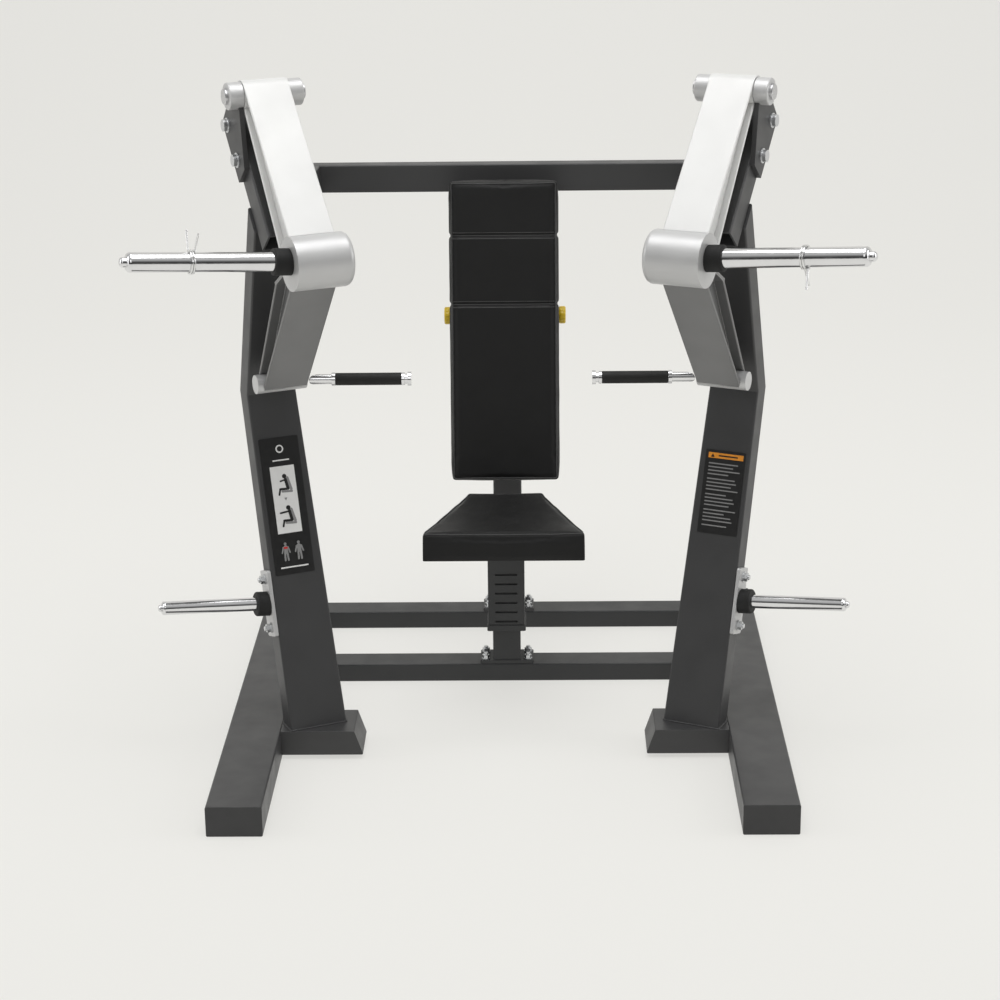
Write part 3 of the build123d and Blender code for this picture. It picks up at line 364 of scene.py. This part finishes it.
def swell(thing, pinned, pressure, cap):
    """Inflates the pad as cloth, with pinned(vertex) held, and limits how far a point moves."""
    start = [v.co.copy() for v in thing.data.vertices]
    held = thing.vertex_groups.new(name="held")
    held.add([v.index for v in thing.data.vertices if pinned(v.co)], 1.0, "REPLACE")
    cloth = thing.modifiers.new("cloth", "CLOTH")
    settings = cloth.settings
    settings.quality, settings.mass = 6, 0.3
    settings.tension_stiffness = settings.compression_stiffness = 25.0
    settings.bending_stiffness = 4.0
    settings.use_pressure, settings.uniform_pressure_force = True, pressure
    settings.effector_weights.gravity = 0.0
    settings.vertex_group_mass = "held"
    cloth.collision_settings.use_collision = False
    cloth.point_cache.frame_start, cloth.point_cache.frame_end = 1, CLOTH_FRAMES
    for step in range(1, CLOTH_FRAMES + 1):
        scene.frame_set(step)
    graph = bpy.context.evaluated_depsgraph_get()
    moved = [v.co.copy() for v in thing.evaluated_get(graph).data.vertices]
    thing.modifiers.remove(cloth)
    thing.vertex_groups.clear()
    for vertex, was, now in zip(thing.data.vertices, start, moved):
        step = now - was
        if step.length > cap:
            step *= cap / step.length
        vertex.co = was + step
    scene.frame_set(1)


def apply_modifier(thing, kind, **settings):
    """Puts a modifier's result into the mesh and removes the modifier."""
    modifier = thing.modifiers.new(kind, kind)
    for key, value in settings.items():
        setattr(modifier, key, value)
    graph = bpy.context.evaluated_depsgraph_get()
    mesh = bpy.data.meshes.new_from_object(thing.evaluated_get(graph))
    thing.modifiers.remove(modifier)
    old, thing.data = thing.data, mesh
    bpy.data.meshes.remove(old)


def make_pad(node_name, name, body, pad, thickness, seams):
    """A sewn pad over a CAD pad: swollen as cloth, then grooved along its seams."""
    thing = bpy.data.objects.new(name, nodes[node_name].data.copy())
    scene.collection.objects.link(thing)
    apply_modifier(thing, "REMESH", mode="VOXEL", voxel_size=VOXEL)
    mesh = thing.data
    length = max(pad.local(v.co).y for v in mesh.vertices)
    shifts = [v.normal * -PAD_INSET for v in mesh.vertices]
    for vertex, shift in zip(mesh.vertices, shifts):
        vertex.co += shift
    swell(thing, lambda co: pad.local(co).z < -thickness + PAD_INSET + VOXEL,
          PAD_PRESSURE, PAD_CAP)
    apply_modifier(thing, "SUBSURF", levels=1)
    outwards = [v.normal.copy() for v in thing.data.vertices]
    for vertex, outward in zip(thing.data.vertices, outwards):
        at = pad.local(vertex.co)
        if at.z < -thickness + PAD_BASE:
            continue
        lift = WRINKLE * noise.noise(vertex.co * WRINKLE_RATE)
        for seam in seams:
            lift -= SEAM_DEPTH * math.exp(-((at.y - seam) / SEAM_WIDTH) ** 2)
        vertex.co += outward * lift
    thing.data.shade_smooth()
    dress(thing, "vinyl")
    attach(thing, body)
    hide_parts(node_name)
    return thing


def on_surface(tree, point, direction, lift):
    """The pad's surface seen from a point outside it, looking along a direction."""
    hit, normal, _, _ = tree.ray_cast(point, direction)
    return None if hit is None else hit + normal * lift


def add_stitching(pad_piece, name, body, pad, seams, half_width):
    """Two rows of thread beside each seam, and a thin welt in the seam itself, whose lighter grey
    is a painted highlight.
    """
    tree = BVHTree.FromObject(pad_piece, bpy.context.evaluated_depsgraph_get())
    welts, thread = bmesh.new(), bmesh.new()
    steps = 60
    for seam in seams:
        line = [on_surface(tree, pad.world(half_width * (2 * k / steps - 1), seam, 0.1),
                           -pad.out, 0.0006) for k in range(steps + 1)]
        tube(welts, [p for p in line if p], WELT_R, sides=8)
        for gap in (-STITCH_GAP, STITCH_GAP):
            x = -half_width + 0.006
            while x < half_width - 0.008:
                ends = [on_surface(tree, pad.world(at, seam + gap, 0.1), -pad.out, 0.0003)
                        for at in (x, x + STITCH / 2, x + STITCH)]
                if all(ends):
                    tube(thread, ends, THREAD_R, sides=6)
                x += STITCH_STEP
    for bm, suffix, look in ((welts, "welts", "welt"), (thread, "thread", "thread")):
        piece = link_mesh(f"{name}_{suffix}", bm, [look])
        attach(piece, body)


def add_piping(pad_piece, name, body, pad, outline):
    """A thin welt round the edge of the pad's face, laid on the pad's real surface; its lighter
    grey is a painted highlight along the edge.
    """
    tree = BVHTree.FromObject(pad_piece, bpy.context.evaluated_depsgraph_get())
    path = []
    for k, corner in enumerate(outline):
        nxt = outline[(k + 1) % len(outline)]
        steps = max(1, int((nxt - corner).length / 0.006))
        for i in range(steps):
            spot = corner.lerp(nxt, i / steps)
            hit = tree.find_nearest(pad.world(spot.x, spot.y, 0.004))
            path.append(hit[0] + hit[1] * PIPING_R * 0.35)
    bm = bmesh.new()
    tube(bm, path, PIPING_R, closed=True, sides=8)
    piece = link_mesh(f"{name}_piping", bm, ["welt"])
    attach(piece, body)


def rounded_outline(corners, radius, steps=6):
    """Corner points with each corner turned into a short arc."""
    points = []
    for k, corner in enumerate(corners):
        before, after = corners[k - 1], corners[(k + 1) % len(corners)]
        to_before, to_after = (before - corner).normalized(), (after - corner).normalized()
        for i in range(steps + 1):
            t = i / steps
            start, end = corner + to_before * radius, corner + to_after * radius
            points.append(start * (1 - t) ** 2 + corner * 2 * t * (1 - t) + end * t * t)
    return points


def build_back_pad():
    """The backrest cushion: two sewn seams across it, and piping round its face."""
    low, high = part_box("back_pad")
    along = Vector((0, math.sin(BACK_TILT), math.cos(BACK_TILT)))
    out = Vector((0, -math.cos(BACK_TILT), math.sin(BACK_TILT)))
    origin = Vector((0, low.y, low.z + BACK_THICK * math.sin(BACK_TILT)))
    pad = PadFrame(origin, along, out)
    length = (high.z - origin.z) / along.z
    seams = [length * share for share in BACK_SEAMS]
    piece = make_pad("back_pad", "back_cushion", "backrest", pad, BACK_THICK, seams)
    half = high.x
    add_stitching(piece, "back_cushion", "backrest", pad, seams, half - 0.004)
    edge = 0.0035
    corners = [Vector((x * (half - edge), y, 0)) for x, y in
               ((-1, edge), (1, edge), (1, length - edge), (-1, length - edge))]
    add_piping(piece, "back_cushion", "backrest", pad, rounded_outline(corners, 0.012))


def build_seat_pad():
    """The seat cushion, which narrows towards the back."""
    low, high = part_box("seat_pad")
    along = Vector((0, math.cos(SEAT_TILT), -math.sin(SEAT_TILT)))
    out = Vector((0, math.sin(SEAT_TILT), math.cos(SEAT_TILT)))
    length = (high.y - low.y) / along.y
    origin = Vector((0, low.y + SEAT_THICK * math.sin(SEAT_TILT), high.z))
    pad = PadFrame(origin, along, out)
    piece = make_pad("seat_pad", "seat_cushion", "seat", pad, SEAT_THICK, ())
    half, edge = high.x, 0.004
    corners = [Vector((x, y, 0)) for x, y in (
        (-half + edge, edge), (half - edge, edge), (half - edge, SEAT_FRONT_BAND),
        (SEAT_REAR_HALF - edge, length - 0.01), (-SEAT_REAR_HALF + edge, length - 0.01),
        (-half + edge, SEAT_FRONT_BAND))]
    add_piping(piece, "seat_cushion", "seat", pad, rounded_outline(corners, 0.010))


# ---------------------------------------------------------------- placards
PRINT_LIFT = 0.0003


class Placard:
    """Flat printed shapes on a placard's front face, measured from its middle."""

    def __init__(self, node_name):
        mesh = nodes[node_name].data
        fronts = [p for p in mesh.polygons if p.normal.y < -0.5]
        self.out = max(fronts, key=lambda p: p.area).normal.copy()
        self.across = Vector((0, 0, 1)).cross(self.out).normalized()
        self.up = self.out.cross(self.across)
        spots = [v.co for v in mesh.vertices]
        self.middle = Vector()
        for axis in (self.across, self.up):
            ends = [p.dot(axis) for p in spots]
            self.middle += axis * (min(ends) + max(ends)) / 2
        self.middle += self.out * max(p.dot(self.out) for p in spots)
        self.half_w = max(abs((p - self.middle).dot(self.across)) for p in spots)
        self.half_h = max(abs((p - self.middle).dot(self.up)) for p in spots)
        self.bm = bmesh.new()
        self.looks = ["white_print", "grey_print", "red_print", "orange_print", "sheet"]
        self.layer = 0

    def shape(self, outline, look):
        """A thin printed patch with this outline, in fractions of the placard's half size."""
        self.layer += 1
        lift = PRINT_LIFT * (1 + 0.2 * self.layer)
        points = [self.middle + self.across * x * self.half_w + self.up * y * self.half_h
                  for x, y in outline]
        low = [self.bm.verts.new(p) for p in points]
        high = [self.bm.verts.new(p + self.out * lift) for p in points]
        faces = [self.bm.faces.new(high)]
        for k in range(len(points)):
            j = (k + 1) % len(points)
            faces.append(self.bm.faces.new((low[k], low[j], high[j], high[k])))
        for face in faces:
            face.material_index = self.looks.index(look)

    def bar(self, x0, x1, y0, y1, look):
        self.shape([(x0, y0), (x1, y0), (x1, y1), (x0, y1)], look)

    def disc(self, x, y, radius, look, steps=18):
        ratio = self.half_w / self.half_h
        self.shape([(x + radius * math.cos(a), y + radius * ratio * math.sin(a))
                    for a in [2 * math.pi * k / steps for k in range(steps)]], look)

    def limb(self, start, end, width, look):
        """A round-ended stroke between two points."""
        ratio = self.half_w / self.half_h
        a, b = Vector((start[0], start[1] / ratio)), Vector((end[0], end[1] / ratio))
        heading = math.atan2(b.y - a.y, b.x - a.x)
        outline = []
        for centre, turn in ((b, -math.pi / 2), (a, math.pi / 2)):
            for k in range(7):
                angle = heading + turn + math.pi * k / 6
                outline.append((centre.x + width * math.cos(angle),
                                (centre.y + width * math.sin(angle)) * ratio))
        self.shape(outline, look)

    def done(self, name):
        piece = link_mesh(name, self.bm, self.looks, smooth=False)
        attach(piece, "root")


def presser(card, y, reach, look):
    """A plain seated figure that presses forwards, on a bench."""
    card.limb((0.34, y - 0.10), (0.20, y + 0.07), 0.07, "grey_print")
    card.limb((-0.12, y - 0.12), (0.36, y - 0.13), 0.055, "grey_print")
    card.limb((0.18, y - 0.085), (0.10, y + 0.05), 0.075, look)
    card.disc(0.06, y + 0.098, 0.11, look)
    card.limb((0.16, y - 0.09), (-0.22, y - 0.085), 0.055, look)
    card.limb((-0.22, y - 0.085), (-0.30, y - 0.165), 0.045, look)
    card.limb((0.10, y + 0.045), (0.10 - reach, y + 0.03), 0.04, look)


def standing(card, x, y, look, accent):
    """A plain standing figure, with its chest picked out where accent is given."""
    card.disc(x, y + 0.11, 0.07, look)
    card.limb((x, y + 0.06), (x, y - 0.01), 0.10, look)
    for side in (-1, 1):
        card.limb((x + side * 0.12, y + 0.06), (x + side * 0.20, y - 0.02), 0.035, look)
        card.limb((x + side * 0.06, y - 0.02), (x + side * 0.08, y - 0.13), 0.045, look)
    if accent:
        card.limb((x - 0.06, y + 0.052), (x + 0.06, y + 0.052), 0.05, accent)


def build_placards():
    """Generic figures on the left placard; plain bars in place of words on the right one."""
    card = Placard("instruction_placard")
    card.disc(0.0, 0.83, 0.20, "white_print")
    card.disc(0.0, 0.83, 0.13, "sheet")
    card.bar(-0.42, 0.42, 0.655, 0.675, "white_print")
    card.bar(-0.62, 0.62, -0.40, 0.58, "white_print")
    presser(card, 0.33, 0.26, "sheet")
    presser(card, -0.13, 0.46, "sheet")
    card.shape([(-0.07, 0.115), (0.07, 0.115), (0.0, 0.075)], "grey_print")
    standing(card, -0.34, -0.66, "grey_print", "red_print")
    standing(card, 0.34, -0.66, "grey_print", None)
    card.bar(-0.7, 0.7, -0.905, -0.885, "white_print")
    card.done("instruction_print")
    notice = Placard("notice_placard")
    notice.bar(-0.86, 0.90, 0.80, 0.93, "orange_print")
    notice.shape([(-0.74, 0.82), (-0.54, 0.82), (-0.64, 0.91)], "sheet")
    notice.bar(-0.34, 0.62, 0.848, 0.882, "sheet")
    row, widths = 0.66, (0.74, 0.62, 0.80, 0.52, 0.70)
    for k in range(17):
        width = widths[k % len(widths)]
        notice.bar(-0.80, -0.80 + 2 * width, row, row + 0.028, "grey_print")
        row -= 0.085 if k % 4 != 3 else 0.115
    notice.done("notice_print")


# ---------------------------------------------------------------- knobs
KNOB_DEPTH, KNOB_FLUTES, FLUTE_DEPTH = 0.019, 10, 0.05
# Each point is a share of the radius, and of the depth from the inner side.
KNOB_PROFILE = ((0.55, 0.0), (0.90, 0.02), (0.985, 0.12), (1.0, 0.30), (1.0, 0.72),
                (0.97, 0.90), (0.86, 0.985), (0.60, 1.0), (0.56, 0.93))


def build_knobs():
    """Fluted yellow knobs over the plain CAD ones."""
    low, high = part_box("backrest_latch_knobs")
    centre_y, centre_z = (low.y + high.y) / 2, (low.z + high.z) / 2
    radius, sides = (high.z - low.z) / 2, 80
    bm = bmesh.new()
    for side in (-1, 1):
        inner = high.x - KNOB_DEPTH
        rings = []
        for share, step in KNOB_PROFILE:
            ring = []
            for k in range(sides):
                angle = 2 * math.pi * k / sides
                groove = max(0.0, math.cos(KNOB_FLUTES * angle)) * (share > 0.84)
                size = radius * share * (1 - FLUTE_DEPTH * groove)
                ring.append(bm.verts.new((side * (inner + KNOB_DEPTH * step),
                                          centre_y + size * math.cos(angle),
                                          centre_z + size * math.sin(angle))))
            rings.append(ring)
        for a, b in zip(rings, rings[1:]):
            for k in range(sides):
                j = (k + 1) % sides
                bm.faces.new((a[k], a[j], b[j], b[k]))
        bm.faces.new(rings[0])
        bm.faces.new(rings[-1])
    piece = link_mesh("yellow_knobs", bm, ["knob"])
    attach(piece, "back_latch")
    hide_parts("backrest_latch_knobs")


# ---------------------------------------------------------------- welds
WELD_R, WELD_STEP = 0.0026, 0.0022


def fine(points, closed=False):
    """The same path with points a weld ripple apart."""
    path = []
    for start, end in zip(points, points[1:] + (points[:1] if closed else [])):
        count = max(1, int((end - start).length / WELD_STEP))
        path += [start.lerp(end, i / count) for i in range(count)]
    return path if closed else path + [points[-1]]


def bead(i):
    """The ripple that each pass of the torch leaves, as a share of the weld's radius."""
    return 1 + 0.13 * math.sin(i * 1.9) + 0.05 * math.sin(i * 0.37)


def foot_outline(node_name):
    """The outer corners of a node's lowest face, in order round it."""
    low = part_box(node_name)[0].z
    spots = [v.co for v in nodes[node_name].data.vertices if v.co.z < low + 0.0005]
    order = convex_hull_2d([(p.x, p.y) for p in spots])
    return [Vector((spots[i].x, spots[i].y, low + WELD_R * 0.3)) for i in order]


def build_welds():
    """Fillet beads round the feet of the posts, and where the base bars meet the rails."""
    bm = bmesh.new()
    for name in ("left_post", "right_post"):
        tube(bm, fine(foot_outline(name), True), WELD_R, closed=True, sides=8, ripple=bead)
    for name in ("front_base_bar", "back_base_bar"):
        low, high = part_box(name)
        for x in (low.x, high.x):
            corners = [Vector((x, low.y, WELD_R * 1.3)), Vector((x, low.y, high.z)),
                       Vector((x, high.y, high.z)), Vector((x, high.y, WELD_R * 1.3))]
            tube(bm, fine(corners), WELD_R, sides=8, ripple=bead)
    piece = link_mesh("frame_welds", bm, ["frame"])
    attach(piece, "root")


# ---------------------------------------------------------------- stage and light
# The paper glows a little, so that it stays one even tone and shadows on it stay faint.
PAPER_DIFFUSE, PAPER_GLOW = (0.25, 0.248, 0.240), (0.585, 0.580, 0.556)
PAPER_SIZE, PAPER_WALL_Y, PAPER_BEND_R, BEND_STEPS = 14.0, 7.0, 2.5, 12
# Past the paper the sky is as pale as the paper. What it lights and reflects in is bright above
# and dim near the horizon, which gives the chrome its darker bands.
SKY_SEEN, SKY_LOW, SKY_HIGH = 0.84, 0.06, 0.55
SKY_COLOR = (0.96, 0.96, 0.95, 1)
# Name, place, aimed at, width, power, and height where it isn't square.
LIGHTS = (
    ("overhead", (0.0, -0.6, 5.2), (0, 0, 0.4), 3.2, 112.0, None),
    ("backdrop", (0.0, 3.2, 5.6), (0, 7.0, 3.0), 6.0, 75.0, None),
    ("front", (-1.5, -6.5, 4.0), (0, 0, 0.8), 3.0, 34.0, None),
    ("left_side", (-4.5, -0.5, 2.2), (0, 0, 0.9), 1.6, 46.0, 3.0),
    ("right_side", (4.5, -0.5, 2.2), (0, 0, 0.9), 1.6, 58.0, 3.0),
)


def build_stage():
    """A sheet of paper under the machine that bends up into a wall behind it."""
    bm = bmesh.new()
    floor_end = PAPER_WALL_Y - PAPER_BEND_R
    profile = [(-PAPER_SIZE, 0.0), (floor_end, 0.0)]
    for k in range(1, BEND_STEPS + 1):
        angle = math.pi / 2 * k / BEND_STEPS
        profile.append((floor_end + PAPER_BEND_R * math.sin(angle),
                        PAPER_BEND_R - PAPER_BEND_R * math.cos(angle)))
    profile.append((PAPER_WALL_Y, PAPER_SIZE))
    rows = [[bm.verts.new((x, y, z)) for y, z in profile] for x in (-PAPER_SIZE, PAPER_SIZE)]
    for k in range(len(profile) - 1):
        bm.faces.new((rows[0][k], rows[1][k], rows[1][k + 1], rows[0][k + 1]))
    mesh = bpy.data.meshes.new("backdrop")
    bm.to_mesh(mesh)
    bm.free()
    mesh.shade_smooth()
    backdrop = bpy.data.objects.new("backdrop", mesh)
    scene.collection.objects.link(backdrop)
    material, _, _ = shaded("backdrop_paper", PAPER_DIFFUSE, 0.95, Emission_Strength=1.0,
                            Emission_Color=(*PAPER_GLOW, 1), Specular_IOR_Level=0.0)
    mesh.materials.append(material)


def area_light(name, at, target, size, power, size_y):
    data = bpy.data.lights.new(name, "AREA")
    data.energy, data.size = power, size
    if size_y:
        data.shape, data.size_y = "RECTANGLE", size_y
    lamp = bpy.data.objects.new(name, data)
    lamp.location = at
    lamp.rotation_euler = (Vector(target) - Vector(at)).to_track_quat("-Z", "Y").to_euler()
    scene.collection.objects.link(lamp)


def build_sky():
    world = bpy.data.worlds.new("studio")
    world.use_nodes = True
    tree = world.node_tree
    height = node(tree, "ShaderNodeSeparateXYZ", {
        "Vector": node(tree, "ShaderNodeTexCoord").outputs["Generated"]}).outputs["Z"]
    level = node(tree, "ShaderNodeMapRange", {"Value": height, "From Min": 0.20, "From Max": 0.60,
                                              "To Min": SKY_LOW, "To Max": SKY_HIGH})
    direct = node(tree, "ShaderNodeLightPath").outputs["Is Camera Ray"]
    seen = node(tree, "ShaderNodeMix", {"Factor": direct, "A": level.outputs["Result"],
                                        "B": SKY_SEEN})
    background = tree.nodes["Background"]
    background.inputs["Color"].default_value = SKY_COLOR
    tree.links.new(seen.outputs["Result"], background.inputs["Strength"])
    scene.world = world


add_camera()
dress_nodes()
build_back_pad()
build_seat_pad()
build_placards()
build_knobs()
build_welds()
build_stage()
build_sky()
for light in LIGHTS:
    area_light(*light)
scene.view_settings.view_transform = "Standard"
